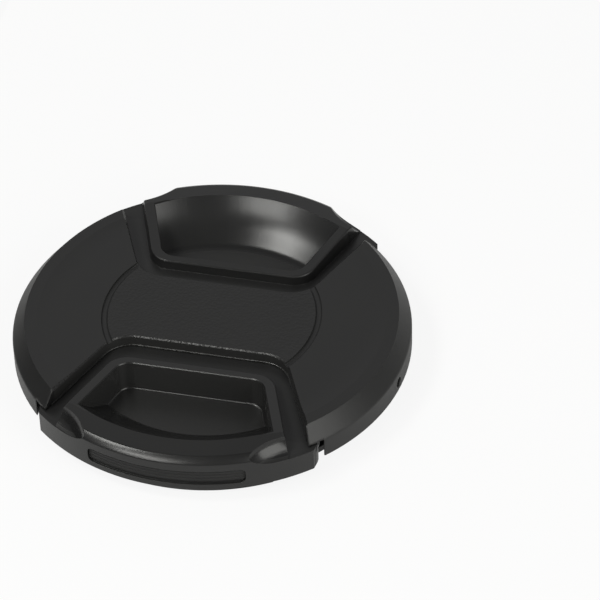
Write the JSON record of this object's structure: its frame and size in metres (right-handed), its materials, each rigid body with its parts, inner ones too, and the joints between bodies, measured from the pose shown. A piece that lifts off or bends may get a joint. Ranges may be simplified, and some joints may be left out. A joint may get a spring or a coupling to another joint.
{
  "type": "camera lens cap",
  "caption": "Round black centre-pinch camera lens cap: sprung finger tabs with dished pockets, a grained centre disc, thread lugs behind and a small tether hole in the side wall.",
  "frame": {"origin": "on the cap's axis, at the foot of the back plate's skirt, which the cap rests on when it lies face up", "axes": "+Z out through the front face, Y along the slide of the finger tabs with the rear tab towards +Y, X across with the tether hole near +X"},
  "size_m": [0.061, 0.0628, 0.009],
  "materials": {
    "body_plastic": "fine satin black moulding, leather grain on the centre disc",
    "tab_plastic": "smoother satin black moulding",
    "spring_steel": "bright drawn wire"
  },
  "bodies": {
    "body": {"cap_body": "body_plastic", "back_plate": "body_plastic", "left_spring": "spring_steel", "right_spring": "spring_steel"},
    "front_tab": {"front_tab": "tab_plastic"},
    "rear_tab": {"rear_tab": "tab_plastic"}
  },
  "joints": [
    {"name": "front_tab_slide", "type": "slide", "parent": "body", "child": "front_tab", "axis": [0, 1, 0], "range_m": [0, 0.003], "stiffness_N_per_m": 400, "springref_m": -0.004, "deforming": ["left_spring", "right_spring"]},
    {"name": "rear_tab_slide", "type": "slide", "parent": "body", "child": "rear_tab", "axis": [0, -1, 0], "range_m": [0, 0.003], "stiffness_N_per_m": 400, "springref_m": -0.004, "deforming": ["left_spring", "right_spring"]}
  ]
}
